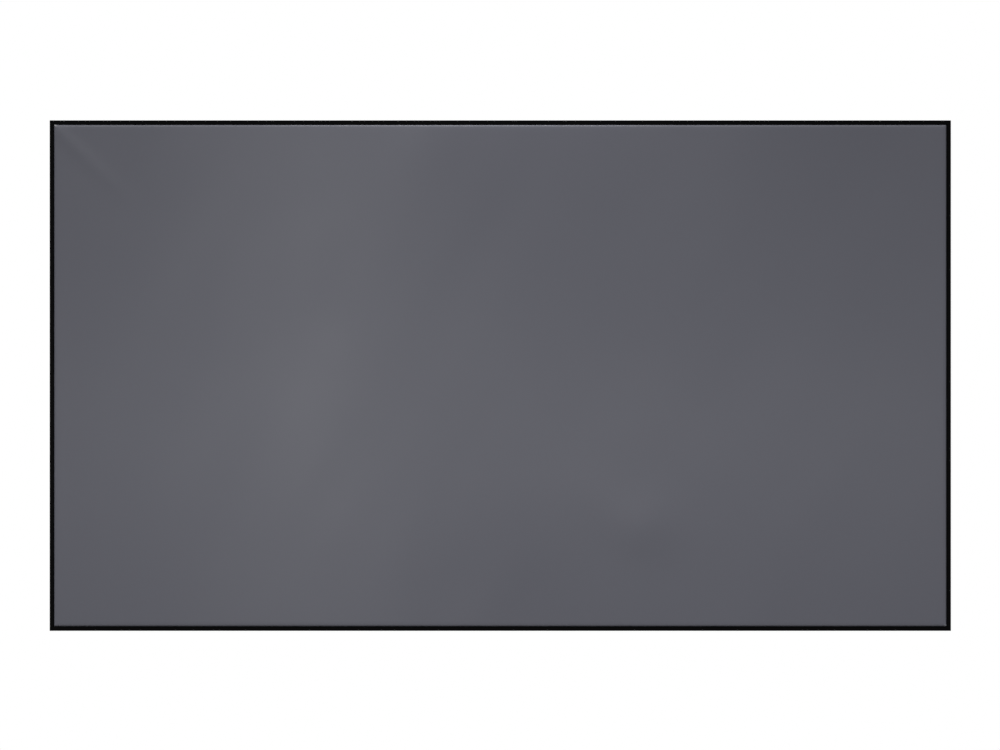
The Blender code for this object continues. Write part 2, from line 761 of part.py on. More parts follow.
def foot_outline():
    """A foot in section: the plug in the bar, the shoulder, and the hook over the rail's inner lip."""
    shoulder = RAIL_INNER + SEAT_GAP
    plug = shoulder + FOOT_SHOULDER
    plug_front = BAR_FRONT + BAR_WALL + SEAT_GAP
    plug_back = BAR_FRONT + BAR_DEPTH - BAR_WALL - SEAT_GAP
    tab = RAIL_BACK + SEAT_GAP
    leg = OPENING_INNER - SEAT_GAP
    toe = LIP_UNDERSIDE - SEAT_GAP
    return [
        (plug + FOOT_PLUG, plug_front),
        (plug, plug_front),
        (plug, BAR_FRONT),
        (shoulder, BAR_FRONT),
        (shoulder, tab),
        (leg, tab),
        (leg, toe),
        (leg + FOOT_TOE, toe),
        (leg + FOOT_TOE, toe - FOOT_TAB),
        (leg - FOOT_LEG, toe - FOOT_TAB),
        (leg - FOOT_LEG, tab + FOOT_TAB),
        (plug, tab + FOOT_TAB),
        (plug, plug_back),
        (plug + FOOT_PLUG, plug_back),
    ]


def make_support(sides):
    """The upright bar behind the sheet, and a foot at each end of it."""
    low = (-BAR_WIDTH / 2, BAR_FRONT - FACE_TO_WALL)
    high = (BAR_WIDTH / 2, BAR_FRONT + BAR_DEPTH - FACE_TO_WALL)
    inner_low = (low[0] + BAR_WALL, low[1] + BAR_WALL)
    inner_high = (high[0] - BAR_WALL, high[1] - BAR_WALL)
    loops = [
        rounded_box(low, high, BAR_CORNER, 2),
        [inner_low, (inner_high[0], inner_low[1]), inner_high, (inner_low[0], inner_high[1])],
    ]
    half = OUTER_HEIGHT / 2 - BAR_END
    new_object("support_bar", extruded("support_bar", loops, -half, half), "black_anodised")
    half_foot = BAR_WIDTH / 2 - BAR_WALL - SEAT_GAP
    for side in ("top", "bottom"):
        foot = extruded("support_foot_" + side, [foot_outline()], -half_foot, half_foot)
        new_object("support_foot_" + side, foot, "black_nylon", sides[side])


def hook_path(side):
    """A wall hook in section, along the middle of its plate, from its tongue in the slot to its far edge."""
    half = HOOK_THICKNESS / 2
    tongue = LIP_UNDERSIDE - SEAT_GAP - half
    wall = FACE_TO_WALL - half
    if side == "top":
        step = OPENING_OUTER + SEAT_GAP + half
        tip = CHANNEL_OUTER + HOOK_TONGUE_GAP
    else:
        step = OPENING_INNER - SEAT_GAP - half
        tip = CHANNEL_INNER - HOOK_TONGUE_GAP
    corners = [(tip, tongue), (step, tongue), (step, wall), (step + HOOK_PLATE, wall)]
    return filleted(corners, [half, HOOK_BEND], 3)


def hook_holes(plate_edge):
    """Two level slots through the plate for the wall screws."""
    half_length = HOOK_HOLE_LENGTH / 2
    half_width = HOOK_HOLE_WIDTH / 2
    across = plate_edge - HOOK_HOLE_TO_EDGE
    low = FACE_TO_WALL - 2 * HOOK_THICKNESS
    placed = []
    for sign in (-1, 1):
        middle = sign * HOOK_HOLE_SPACING / 2
        outline = rounded_box((-half_length, -half_width), (half_length, half_width), half_width * 0.999, 4)
        slot = extruded("slot", [outline], low, FACE_TO_WALL + HOOK_THICKNESS)
        turned = axes_matrix(Vector((0, 0, 1)), Vector((1, 0, 0)), Vector((0, 1, 0)), (across, 0, middle))
        placed.append((slot, turned))
    return placed


def make_wall_hooks(side, empty):
    """Each hook stands midway between the second and the third clip from the corner."""
    for name, start, end in rod_spans(side):
        neighbours = sorted(clip_places(start, end), key=abs)[-3:-1]
        middle = sum(neighbours) / len(neighbours)
        path = hook_path(side)
        plate = ribbon("wall_hook_" + name, path, -HOOK_WIDTH / 2, HOOK_WIDTH / 2)
        hook = new_object("wall_hook_" + name, plate, "black_steel", empty)
        hook.location = (0, 0, middle)
        solidify(hook, HOOK_THICKNESS, 0)
        holes = new_cutter("holes_" + name, joined_mesh("holes_" + name, hook_holes(path[-1][0])))
        holes.parent = hook
        boolean(hook, holes, "DIFFERENCE")
        level_shading(hook)


clear_scene()
SCREEN = new_collection("projector_screen")
CUTTERS = new_collection("cutters")


def main():
    sides = {side: side_empty(side) for side in SIDES}
    corners = {corner: corner_empty(corner) for corner in CORNERS}
    bpy.context.view_layer.update()
    screw = screw_mesh()
    screw_holes = screw_hole_cutters(sides, corners)
    for side, empty in sides.items():
        make_bars(side, empty, screw_holes)
        make_rods(side, empty)
    for corner, empty in corners.items():
        make_corner(corner, empty, screw)
    for side in ("top", "bottom"):
        make_joiner(side, sides[side], screw)
        make_wall_hooks(side, sides[side])
    make_support(sides)
    make_sheet(sides, corners)


main()
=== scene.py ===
# %% [markdown]
# # A fixed-frame projector screen
# A big sheet of grey screen material is stretched flat over a frame of aluminium rails. Its edges
# turn round the rails and end in hems behind, where steel rods and spring clips pull them tight.
# The engineering model already holds every solid piece at its real size. This script loads it and
# gives each piece the surface that it has in life, and it rebuilds the sheet, the rods, the clips
# and the screws with finer meshes. Lengths are in metres, +Z is up and the grey face looks along -Y.

# %% Load the engineering model
import math
import random

import bmesh
import bpy
from mathutils import Matrix, Vector


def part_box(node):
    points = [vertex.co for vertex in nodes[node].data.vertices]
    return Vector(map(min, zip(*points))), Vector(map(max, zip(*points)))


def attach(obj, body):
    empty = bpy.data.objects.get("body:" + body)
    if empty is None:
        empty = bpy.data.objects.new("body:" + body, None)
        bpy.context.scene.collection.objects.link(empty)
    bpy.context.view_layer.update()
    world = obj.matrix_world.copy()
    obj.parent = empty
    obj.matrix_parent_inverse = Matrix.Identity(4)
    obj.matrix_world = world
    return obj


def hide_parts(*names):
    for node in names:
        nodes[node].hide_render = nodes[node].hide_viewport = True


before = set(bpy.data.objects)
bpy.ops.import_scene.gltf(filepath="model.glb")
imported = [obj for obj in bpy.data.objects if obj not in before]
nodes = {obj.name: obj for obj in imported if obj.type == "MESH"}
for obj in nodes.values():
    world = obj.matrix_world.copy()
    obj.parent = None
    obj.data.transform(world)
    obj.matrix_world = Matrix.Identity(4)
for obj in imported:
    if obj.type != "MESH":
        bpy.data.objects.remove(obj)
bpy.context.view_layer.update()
MM = 0.001
print("solid pieces:", len(nodes))

# %% [markdown]
# ## Measures that the solids give
# A size that is read from a solid can't disagree with it. The bezel's outside gives the middle and
# the reach of every side, and the screen sheet's front gives the plane that all depths start from.
# The bezel's flange reaches inwards behind the sheet, so its inner edge gives the bezel's width.

# %% Read the outline from the bezel and the sheet
half_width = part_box("bezel_right")[1].x
half_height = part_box("bezel_top_left")[1].z
sheet_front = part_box("screen_sheet")[0].y
FLANGE = 7.5 * MM
flange_edge = half_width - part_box("bezel_right")[0].x
bezel_width = flange_edge - FLANGE
print(f"outside {2 * half_width:.4f} x {2 * half_height:.4f}, front of the sheet at y {sheet_front:.4f}")
print(f"bezel {bezel_width * 1000:.2f} mm wide")

# %% [markdown]
# ## Working along a side
# All four sides have the same section, so each piece is drawn once and then turned to its side.
# In a side's own axes X is the inset from the bezel's outer face, Y is the depth behind the
# sheet's front and Z runs along the side. One matrix takes those axes to the object's.

# %% The four sides and their matrices
BACKWARD = Vector((0, 1, 0))
SIDES = {
    "top": Vector((0, 0, -1)),
    "bottom": Vector((0, 0, 1)),
    "left": Vector((1, 0, 0)),
    "right": Vector((-1, 0, 0)),
}


def half_across(side):
    return half_width if SIDES[side].x else half_height


def half_along(side):
    return half_height if SIDES[side].x else half_width


def side_matrix(side):
    inward = SIDES[side]
    along = inward.cross(BACKWARD)
    origin = -inward * half_across(side) + sheet_front * BACKWARD
    turn = Matrix((inward, BACKWARD, along)).transposed().to_4x4()
    return Matrix.Translation(origin) @ turn


for side in SIDES:
    print(side, "runs", round(2 * half_along(side), 4), "m")

# %% [markdown]
# ## A short way to write materials
# Every finish here is made of nodes, so it has no picture files and stays sharp at any distance.
# A few small helpers keep the recipes readable: they make the material with its shader, add a
# noise that can be stretched and turned, bring a value to another range, blend two colours and
# turn any grey value into fine relief. A noise is built over a lattice of even steps, which can
# show as a straight line where it passes through the middle of an object, so it is shifted.

# %% Helpers for the materials
NOISE_SHIFT = (0.31, 0.53, 0.17)


def new_finish(name, colour, roughness, metallic=0.0, specular=0.5):
    material = bpy.data.materials.new(name)
    material.use_nodes = True
    tree = material.node_tree
    shader = tree.nodes["Principled BSDF"]
    shader.inputs["Base Color"].default_value = (*colour, 1)
    shader.inputs["Roughness"].default_value = roughness
    shader.inputs["Metallic"].default_value = metallic
    shader.inputs["Specular IOR Level"].default_value = specular
    return material, tree, shader


def noise(tree, scale, detail=2.0, stretch=(1, 1, 1), lean=0.0):
    """A noise over the object's own coordinates, in metres. lean turns it, seen from the front."""
    place = tree.nodes.new("ShaderNodeTexCoord")
    turn = tree.nodes.new("ShaderNodeMapping")
    turn.inputs["Rotation"].default_value = (0, math.radians(lean), 0)
    turn.inputs["Location"].default_value = NOISE_SHIFT
    squeeze = tree.nodes.new("ShaderNodeMapping")
    squeeze.inputs["Scale"].default_value = stretch
    cloud = tree.nodes.new("ShaderNodeTexNoise")
    cloud.inputs["Scale"].default_value = scale
    cloud.inputs["Detail"].default_value = detail
    tree.links.new(place.outputs["Object"], turn.inputs["Vector"])
    tree.links.new(turn.outputs["Vector"], squeeze.inputs["Vector"])
    tree.links.new(squeeze.outputs["Vector"], cloud.inputs["Vector"])
    return cloud.outputs["Fac"]


def spread(tree, value, low, high, source=(0.3, 0.7)):
    """Maps a noise value to the range from low to high."""
    step = tree.nodes.new("ShaderNodeMapRange")
    step.inputs["From Min"].default_value = source[0]
    step.inputs["From Max"].default_value = source[1]
    step.inputs["To Min"].default_value = low
    step.inputs["To Max"].default_value = high
    tree.links.new(value, step.inputs["Value"])
    return step.outputs["Result"]


def blend_colours(tree, factor, first, second):
    mix = tree.nodes.new("ShaderNodeMix")
    mix.data_type = "RGBA"
    tree.links.new(factor, mix.inputs[0])
    mix.inputs[6].default_value = (*first, 1)
    mix.inputs[7].default_value = (*second, 1)
    return mix.outputs[2]


def relief(tree, shader, height, depth, strength=1.0, under=None):
    """Fine relief on the shader's normal. A second one goes over the first through under."""
    bump = tree.nodes.new("ShaderNodeBump")
    bump.inputs["Strength"].default_value = strength
    bump.inputs["Distance"].default_value = depth
    tree.links.new(height, bump.inputs["Height"])
    if under:
        tree.links.new(under, bump.inputs["Normal"])
    tree.links.new(bump.outputs["Normal"], shader.inputs["Normal"])
    return bump.outputs["Normal"]


print("helpers ready")

# %% [markdown]
# ## The grey optical face
# The front of the sheet is a satin grey plastic with fine level ridges, which send light from a
# projector back to the viewer and soak up light from the ceiling. From the sofa it only looks
# like a smooth dark grey with slow, cloudy changes of tone. A single grey would look like paint,
# so several scales are mixed: clouds half a metre wide, a grain of pigment under a millimetre,
# a leaning ripple that turns reflections by a fraction of a degree, and the ridges. The ridges
# are a noise stretched hard along X. They are too fine for the camera to see one by one, but
# they draw out every reflection upwards and downwards, and the shader's anisotropy does that,
# with its tangent turned round the X axis. The crests of the two corner folds get a painted
# highlight: their colour is mixed towards a pale white. The mesh carries how much on its points.

# %% Make the grey face of the sheet
FACE_GREY = (0.1, 0.102, 0.12)
FACE_DARKEST = (0.098, 0.0995, 0.12)
FACE_LIGHTEST = (0.103, 0.1045, 0.125)
# The pale white of the painted highlight on the crests of the corner folds.
FOLD_HIGHLIGHT_WHITE = (0.42, 0.42, 0.43)
CLOUD_LEAN = -30
RIPPLE_LEAN = -32
RIPPLE_DEPTH = 3.4 * MM
RIDGE_DEPTH = 0.01 * MM
grey_face, tree, shader = new_finish("grey_optical_face", FACE_GREY, 0.3, specular=0.2)
shader.inputs["Anisotropic"].default_value = 0.8
across_ridges = tree.nodes.new("ShaderNodeTangent")
across_ridges.direction_type = "RADIAL"
across_ridges.axis = "X"
tree.links.new(across_ridges.outputs["Tangent"], shader.inputs["Tangent"])
clouds = noise(tree, 1.6, 2.0, (1, 1, 1.3), CLOUD_LEAN)
slow_tone = blend_colours(tree, spread(tree, clouds, 0, 1), FACE_DARKEST, FACE_LIGHTEST)
grain = spread(tree, noise(tree, 1400, 3.0), 0.94, 1.06)
tone = tree.nodes.new("ShaderNodeVectorMath")
tone.operation = "SCALE"
tree.links.new(slow_tone, tone.inputs[0])
tree.links.new(grain, tone.inputs["Scale"])
# Painted highlight: on the folds' crests the colour is mixed towards pale white, as much as the value on
# the mesh says.
fold_highlight = tree.nodes.new("ShaderNodeAttribute")
fold_highlight.attribute_name = "fold_highlight"
highlighted_tone = tree.nodes.new("ShaderNodeMix")
highlighted_tone.data_type = "RGBA"
tree.links.new(fold_highlight.outputs["Fac"], highlighted_tone.inputs[0])
tree.links.new(tone.outputs[0], highlighted_tone.inputs[6])
highlighted_tone.inputs[7].default_value = (*FOLD_HIGHLIGHT_WHITE, 1)
tree.links.new(highlighted_tone.outputs[2], shader.inputs["Base Color"])
sheen = noise(tree, 2.3, 2.0, lean=CLOUD_LEAN)
tree.links.new(spread(tree, sheen, 0.28, 0.33), shader.inputs["Roughness"])
ripple = relief(tree, shader, noise(tree, 3.6, 1.0, (1, 1, 0.4), RIPPLE_LEAN), RIPPLE_DEPTH)
ridges = noise(tree, 2600, 1.0, (0.02, 1, 1))
relief(tree, shader, ridges, RIDGE_DEPTH, 0.25, under=ripple)
print("front of the sheet:", grey_face.name)

# %% [markdown]
# ## The black back of the sheet
# The back is a dull black layer that stops light from behind. A plain black would look like a
# hole in the picture. Such a layer is pressed between rollers, so it gets a faint grain that is
# longer along Z. That grain drives the roughness and a relief of a few hundredths of a
# millimetre, and the black itself drifts a little.

# %% Make the black back of the sheet
black_back, tree, shader = new_finish("black_sheet_back", (0.012, 0.012, 0.013), 0.7, specular=0.3)
calender = noise(tree, 900, 3.0, (1, 1, 0.4))
tree.links.new(spread(tree, calender, 0.62, 0.78), shader.inputs["Roughness"])
tree.links.new(
    blend_colours(tree, noise(tree, 4, 3.0), (0.010, 0.010, 0.011), (0.016, 0.016, 0.017)),
    shader.inputs["Base Color"],
)
relief(tree, shader, calender, 0.04 * MM, 0.5)
print("back of the sheet:", black_back.name)

# %% [markdown]
# ## Black finishes
# The bezel has a deep black coat that swallows light, so that no shine frames the picture. It has
# tiny soft bumps and hardly any reflection. The rails are black anodised extrusions, so their
# faint lines run along the bar, which a noise stretched along X or Z gives. The hooks have a
# coarser coat, and the moulded nylon pieces have a dull spark-eroded skin. Each could be a node
# tree of its own, but they only differ in numbers, so one recipe makes them all: a fine texture
# for roughness and relief, and a slow drift of the black itself.

# %% Make the black finishes
def black_finish(name, colour, roughness, specular, scale, depth, metallic=0.0, stretch=(1, 1, 1)):
    material, tree, shader = new_finish(name, colour, roughness, metallic, specular)
    texture = noise(tree, scale, 3.0, stretch)
    lighter = tuple(1.6 * c for c in colour)
    drift = blend_colours(tree, noise(tree, 30, 4.0), colour, lighter)
    gloss = spread(tree, texture, roughness - 0.06, roughness + 0.06)
    tree.links.new(drift, shader.inputs["Base Color"])
    tree.links.new(gloss, shader.inputs["Roughness"])
    relief(tree, shader, texture, depth, 0.6)
    return material


def anodised(name, lines):
    return black_finish(name, (0.010, 0.010, 0.011), 0.42, 0.35, 1800, 0.03 * MM, 0.3, lines)


LINES_ALONG_X = (0.01, 1, 1)
LINES_ALONG_Z = (1, 1, 0.01)
powder_coat = black_finish("deep_black_coat", (0.0006, 0.0006, 0.0007), 0.5, 0.025, 1500, 0.03 * MM)
anodised_x = anodised("anodised_level_bar", LINES_ALONG_X)
anodised_z = anodised("anodised_upright_bar", LINES_ALONG_Z)
hook_coat = black_finish("hook_powder_coat", (0.014, 0.014, 0.014), 0.55, 0.4, 900, 0.1 * MM)
nylon = black_finish("moulded_nylon", (0.016, 0.016, 0.017), 0.6, 0.4, 2400, 0.03 * MM)
for finish in (powder_coat, anodised_x, anodised_z, hook_coat, nylon):
    print("black finish:", finish.name)

# %% [markdown]
# ## Bare and plated steel
# Zinc plate is a cold, slightly cloudy metal. Its colour drifts a little between bluish and
# yellowish patches, and its roughness drifts in smaller ones. Spring steel is a little darker and
# smoother, with drawn lines along the rod. A picture of real metal could be wrapped round each
# piece, but it would have to be fitted to every mesh. Noise over the object's own coordinates
# needs no fitting, and one recipe with different numbers makes them all.

# %% Make the steel finishes
STEEL_RELIEF = 0.01 * MM


def steel_finish(name, cold, warm, roughness, scale, stretch=(1, 1, 1)):
    material, tree, shader = new_finish(name, cold, roughness, 1.0)
    patches = blend_colours(tree, noise(tree, 60, 4.0), cold, warm)
    wear = spread(tree, noise(tree, 240, 4.0), roughness - 0.08, roughness + 0.12)
    tree.links.new(patches, shader.inputs["Base Color"])
    tree.links.new(wear, shader.inputs["Roughness"])
    relief(tree, shader, noise(tree, scale, 3.0, stretch), STEEL_RELIEF, 0.5)
    return material


zinc = steel_finish("cloudy_zinc_plate", (0.42, 0.435, 0.46), (0.5, 0.495, 0.465), 0.46, 1600)
screw_zinc = steel_finish("zinc_screw", (0.46, 0.47, 0.49), (0.54, 0.53, 0.5), 0.34, 2600)
spring = steel_finish("bent_spring_strip", (0.36, 0.37, 0.385), (0.42, 0.41, 0.39), 0.36, 2200)
rod_steel = steel_finish("drawn_rod", (0.4, 0.41, 0.42), (0.46, 0.46, 0.45), 0.3, 2600, LINES_ALONG_Z)
for finish in (zinc, screw_zinc, spring, rod_steel):
    print("steel finish:", finish.name)

# %% [markdown]
# ## Dressing the solids that already have the right shape
# Most solids stay. Real edges are never knife-sharp, and a rounded one catches a thin line of
# light. The solids could be modelled again with round edges, but a Bevel modifier leaves them as
# they are and its width stays easy to change. The imported meshes have loose corners, so a Weld
# modifier comes first: Bevel only rounds edges whose faces share their points.

# %% Give the kept solids their finish and soft edges
def dress(node, material, edge):
    solid = nodes[node]
    solid.data.materials.clear()
    solid.data.materials.append(material)
    weld = solid.modifiers.new("weld", "WELD")
    weld.merge_threshold = 0.00001
    bevel = solid.modifiers.new("soft_edges", "BEVEL")
    bevel.width = edge
    bevel.segments = 2
    bevel.limit_method = "ANGLE"
    bevel.angle_limit = math.radians(40)
    bevel.use_clamp_overlap = True
    bevel.harden_normals = True


# The first line whose beginning fits a node's name is the one that counts.
DRESSES = [
    ("bezel_key", nylon, 0.3 * MM),
    ("support_foot", nylon, 0.3 * MM),
    ("bezel", powder_coat, 0.25 * MM),
    ("rail_left", anodised_z, 0.2 * MM),
    ("rail_right", anodised_z, 0.2 * MM),
    ("rail", anodised_x, 0.2 * MM),
    ("support_bar", anodised_z, 0.2 * MM),
    ("wall_hook", hook_coat, 0.35 * MM),
    ("joiner", zinc, 0.3 * MM),
    ("corner_bracket", zinc, 0.3 * MM),
]
for name in nodes:
    fitting = [(finish, edge) for start, finish, edge in DRESSES if name.startswith(start)]
    if fitting and "screw" not in name:
        dress(name, *fitting[0])
print("dressed solids:", sum(bool(solid.modifiers) for solid in nodes.values()))

# %% [markdown]
# ## Joint lines of the bezel
# The bezel is cut from long strips: they meet in a mitre at each corner and butt in the middle of
# the two long sides. In life the cut ends touch. The solids keep a hair's width of clearance
# there, and a bright wall would shine through it as a white scratch. Longer strips would close
# it, but the solids aren't changed here. So a thin slice of the same section fills each joint,
# a little inside the surface, and only a dark hairline remains.
# Its outline is the bezel's: a box, and behind it the flange that reaches inwards.

# %% Fill the bezel's joints
HALF_SLICE = 0.13 * MM
UNDER = 0.2 * MM
SLICE_FRONT = 1.8 * MM
BOX_BACK = 27 * MM
FLANGE_FRONT = 27.3 * MM
SLICE_BACK = 28.4 * MM
slice_outline = [
    (UNDER, SLICE_FRONT),
    (bezel_width - UNDER, SLICE_FRONT),
    (bezel_width - UNDER, BOX_BACK),
    (flange_edge - UNDER, FLANGE_FRONT),
    (flange_edge - UNDER, SLICE_BACK),
    (UNDER, SLICE_BACK),
]


def joint_slice(name, side, end):
    """A slice of the section at a cut. end gives where the cut is, as a function of the inset."""
    matrix = side_matrix(side)
    mesh = bpy.data.meshes.new(name)
    work = bmesh.new()
    loops = [
        [
            work.verts.new(matrix @ Vector((inset, depth, end(inset) + offset)))
            for inset, depth in slice_outline
        ]
        for offset in (-HALF_SLICE, HALF_SLICE)
    ]
    work.faces.new(loops[0])
    work.faces.new(reversed(loops[1]))
    for i in range(len(loops[0])):
        j = (i + 1) % len(loops[0])
        work.faces.new((loops[0][j], loops[0][i], loops[1][i], loops[1][j]))
    bmesh.ops.recalc_face_normals(work, faces=work.faces)
    work.to_mesh(mesh)
    work.free()
    mesh.materials.append(powder_coat)
    piece = bpy.data.objects.new(name, mesh)
    bpy.context.collection.objects.link(piece)
    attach(piece, "root")
    return piece


slices = []
for side in ("top", "bottom"):
    slices.append(joint_slice("bezel_joint_" + side, side, lambda inset: 0))
    for end_name, sign in (("low", -1), ("high", 1)):
        name = f"bezel_mitre_{side}_{end_name}"
        slices.append(joint_slice(name, side, lambda inset: sign * (half_width - inset)))
print("filled joints:", len(slices))

# %% [markdown]
# ## Where the clips are
# A clip grips a rod through a window in the hem, so the sheet and the clips need the same list of
# places. A rod and its clips are one solid in the engineering model, so its box gives the rod's
# ends but not where each clip is. The places are worked out again by the model's own rule: the
# first clip is a little way in from each end, and the rest are spaced evenly between, close to a
# fixed pitch.

# %% Work out the clip places from the rods
CLIP_PITCH = 170 * MM
CLIP_TO_ROD_END = 26 * MM
CLIP_TO_MIDDLE = 45 * MM
CLIP_WIDTH = 16 * MM
WINDOW_WIDTH = 24 * MM


def rods_of(side):
    """The rods' solids on a side, and where each one starts and ends along it."""
    found = []
    to_side = side_matrix(side).inverted()
    for node in sorted(nodes):
        if node.startswith("tension_rod_" + side):
            ends = sorted((to_side @ corner).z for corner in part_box(node))
            found.append((node, ends[0], ends[1]))
    return found


def clip_places(start, end):
    low = start + (CLIP_TO_MIDDLE if abs(start) < CLIP_TO_MIDDLE else CLIP_TO_ROD_END)
    high = end - (CLIP_TO_MIDDLE if abs(end) < CLIP_TO_MIDDLE else CLIP_TO_ROD_END)
    gaps = max(1, round((high - low) / CLIP_PITCH))
    return [low + (high - low) * i / gaps for i in range(gaps + 1)]


clips_on = {
    side: [at for _, start, end in rods_of(side) for at in clip_places(start, end)]
    for side in SIDES
}
print("clips:", {side: len(places) for side, places in clips_on.items()})

# %% [markdown]
# ## The sheet's section
# Seen from the end of a rail, the sheet runs flat, leans back a little over a soft shoulder, turns
# through a small radius at the frame's front edge, goes straight back beside the rail, turns
# again, and curls round the rod. A flat sheet with bevelled edges would be quicker, but it would
# have one radius and no hem. So the whole line is drawn, along the sheet's outer face. Arcs get
# many short steps, because the front turn is what catches the light along the top edge.

# %% Draw the section of the sheet
SHEET_SIDE = bezel_width + 0.5 * MM
NOSE_RADIUS = 6 * MM
HEEL_RADIUS = 2.8 * MM
SHEET_THICKNESS = 0.5 * MM
SHEET_BACK = 26.8 * MM
SIDE_MIDDLE = 14 * MM
NOTCH_DEPTH = 23.2 * MM
NOTCH = SHEET_SIDE + 25.5 * MM
ROD_INSET = SHEET_SIDE + 11 * MM
ROD_RADIUS = 2 * MM
SLEEVE_RADIUS = 2.3 * MM
ROD_DEPTH = SHEET_BACK + SLEEVE_RADIUS
WINDOW_EDGE = SHEET_SIDE + 7.1 * MM
SHOULDER = 8.5 * MM
SHOULDER_LEAN = 4.5
SHOULDER_STEPS = 5
SHOULDER_DROP = SHOULDER * math.tan(math.radians(SHOULDER_LEAN)) / 2
NOSE_START = SHEET_SIDE + NOSE_RADIUS * (1 - math.sin(math.radians(SHOULDER_LEAN)))
FLAT_EDGE = NOSE_START + SHOULDER


def arc(centre, radius, start, end, steps):
    angles = [math.radians(start + (end - start) * i / steps) for i in range(steps + 1)]
    return [(centre[0] + radius * math.cos(a), centre[1] + radius * math.sin(a)) for a in angles]


nose_depth = SHOULDER_DROP + NOSE_RADIUS * math.cos(math.radians(SHOULDER_LEAN))
shoulder_parts = [i / SHOULDER_STEPS for i in range(SHOULDER_STEPS)]
section = [
    *[(FLAT_EDGE - SHOULDER * part, SHOULDER_DROP * part ** 2) for part in shoulder_parts],
    *arc((SHEET_SIDE + NOSE_RADIUS, nose_depth), NOSE_RADIUS, -90 - SHOULDER_LEAN, -180, 12),
    (SHEET_SIDE, SIDE_MIDDLE),
    (SHEET_SIDE, NOTCH_DEPTH),
    *arc((SHEET_SIDE + HEEL_RADIUS, SHEET_BACK - HEEL_RADIUS), HEEL_RADIUS, 180, 90, 6),
    (WINDOW_EDGE, SHEET_BACK),
    *arc((ROD_INSET, ROD_DEPTH), SLEEVE_RADIUS, -90, 210, 20),
]
notch_row = section.index((SHEET_SIDE, NOTCH_DEPTH))
window_row = section.index((WINDOW_EDGE, SHEET_BACK))

# %% [markdown]
# ## Where the sheet isn't quite flat
# A flat sheet can't turn two ways at once, so the surplus at a corner gathers in a small fold.
# Two corners show it from the front: the top left one stands proud and catches the light, and
# the bottom right one is flatter and sends a short crease into the face. A pull line runs in
# from the top left corner, and the sheet lifts a little right of the middle. Sculpting could
# make these but would leave nothing to read, and a cloth simulation would put them where it
# likes. So each is a soft ridge between two points, lower towards its second end, and the lift
# is two of them that start at the same top. A ridge is written as its two points, its height,
# how far it reaches to its sides and how strong a painted highlight it lays on its crest. Places
# at a corner are insets from the bezel's outer faces, in millimetres, so they stay with their
# corner if the size changes.

# %% List the folds, the crease and the waves
def at_corner(to_right, to_top, inset_x, inset_z):
    x = to_right * (half_width - inset_x * MM)
    z = to_top * (half_height - inset_z * MM)
    return Vector((x, 0, z))


lift_top = Vector((0.34, 0, -0.37))
small_ridges = [
    # the fold at the top left corner
    (at_corner(-1, 1, 13.4, 12.2), at_corner(-1, 1, 20, 16), 2.4 * MM, 2.8 * MM, 0.7),
    # the fold at the bottom right corner, and its crease
    (at_corner(1, -1, 13.4, 13.2), at_corner(1, -1, 17, 15.5), 1.4 * MM, 2.2 * MM, 0.4),
    (at_corner(1, -1, 15, 15), at_corner(1, -1, 40, 28), 0.5 * MM, 2.2 * MM, 0),
]
wide_ridges = [
    # the pull line
    (at_corner(-1, 1, 24, 30), at_corner(-1, 1, 215, 215), 1.5 * MM, 19 * MM, 0),
    # the lift, to the left and to the right of its top
    (lift_top, Vector((0.06, 0, -0.22)), 2.8 * MM, 75 * MM, 0),
    (lift_top, Vector((0.6, 0, -0.44)), 1.6 * MM, 70 * MM, 0),
]
print("small ridges:", len(small_ridges), "wide ridges:", len(wide_ridges))

# %% [markdown]
# ## Where the sheet's points stand
# The flat face will be a grid, and each edge a strip that follows the section. Their columns
# stand at the same places, so that their points meet: at each window's two edges, closer
# together near the corners, where the sheet puckers, and at an even spacing across the wide
# ridges. A grid that is fine everywhere would do as well, but nearly all of its points would lie
# on flat ground. The strips' ends slide along the mitre, so the four of them close the corners.

# %% Work out the rows and columns of the sheet
CORNER_COLUMNS = 14
CORNER_SPACING = 1.6 * MM
CORNER_STEPS = 10
LEAST_SPACING = 1.5 * MM
RIDGE_MARGIN = 2.5


def columns_of(side):
    """Places along a side: the windows' edges, then the others that aren't too close to those."""
    limit = half_along(side) - FLAT_EDGE
    marks = [-limit, limit]
    for at in clips_on[side]:
        marks += [at - WINDOW_WIDTH / 2, at + WINDOW_WIDTH / 2]
    others = []
    for step in range(1, CORNER_COLUMNS + 1):
        others += [limit - step * CORNER_SPACING, step * CORNER_SPACING - limit]
    to_side = side_matrix(side).inverted()
    for first, last, _, reach, _ in wide_ridges:
        low, high = sorted(((to_side @ first).z, (to_side @ last).z))
        span = high - low + 2 * RIDGE_MARGIN * reach
        steps = math.ceil(span / (reach / RIDGE_MARGIN))
        others += [low - RIDGE_MARGIN * reach + i * span / steps for i in range(steps + 1)]
    for place in others:
        if abs(place) < limit and min(abs(place - mark) for mark in marks) > LEAST_SPACING:
            marks.append(place)
    return sorted(marks)


def strip_points(side):
    """Rows of points along the section. Past the flat face each row goes on to its mitre."""
    limit = half_along(side) - FLAT_EDGE
    columns = columns_of(side)
    rows = []
    for inset, depth in section:
        reach = max(0.0, FLAT_EDGE - inset)
        beyond = [limit + reach * i / CORNER_STEPS for i in range(1, CORNER_STEPS + 1)]
        places = [-place for place in reversed(beyond)] + columns + beyond
        rows.append([(inset, depth, place) for place in places])
    return rows


print("columns:", {side: len(columns_of(side)) for side in SIDES}, "rows:", len(section))

# %% [markdown]
# ## The sheet as one mesh
# The real sheet is one piece of plastic, and five meshes side by side would show their seams in
# its shine. So the grid and the four strips go into one mesh, and points that coincide are
# merged. Faces inside a window or a notch are simply left out, which is easier than cutting them
# away afterwards. The faces are then turned so that the front looks forwards, and the area is
# measured while the sheet is still a single skin.

# %% Build the sheet
MERGE = 0.02 * MM


def in_window(side, low, high):
    middle = (low + high) / 2
    return any(abs(middle - at) < WINDOW_WIDTH / 2 for at in clips_on[side])


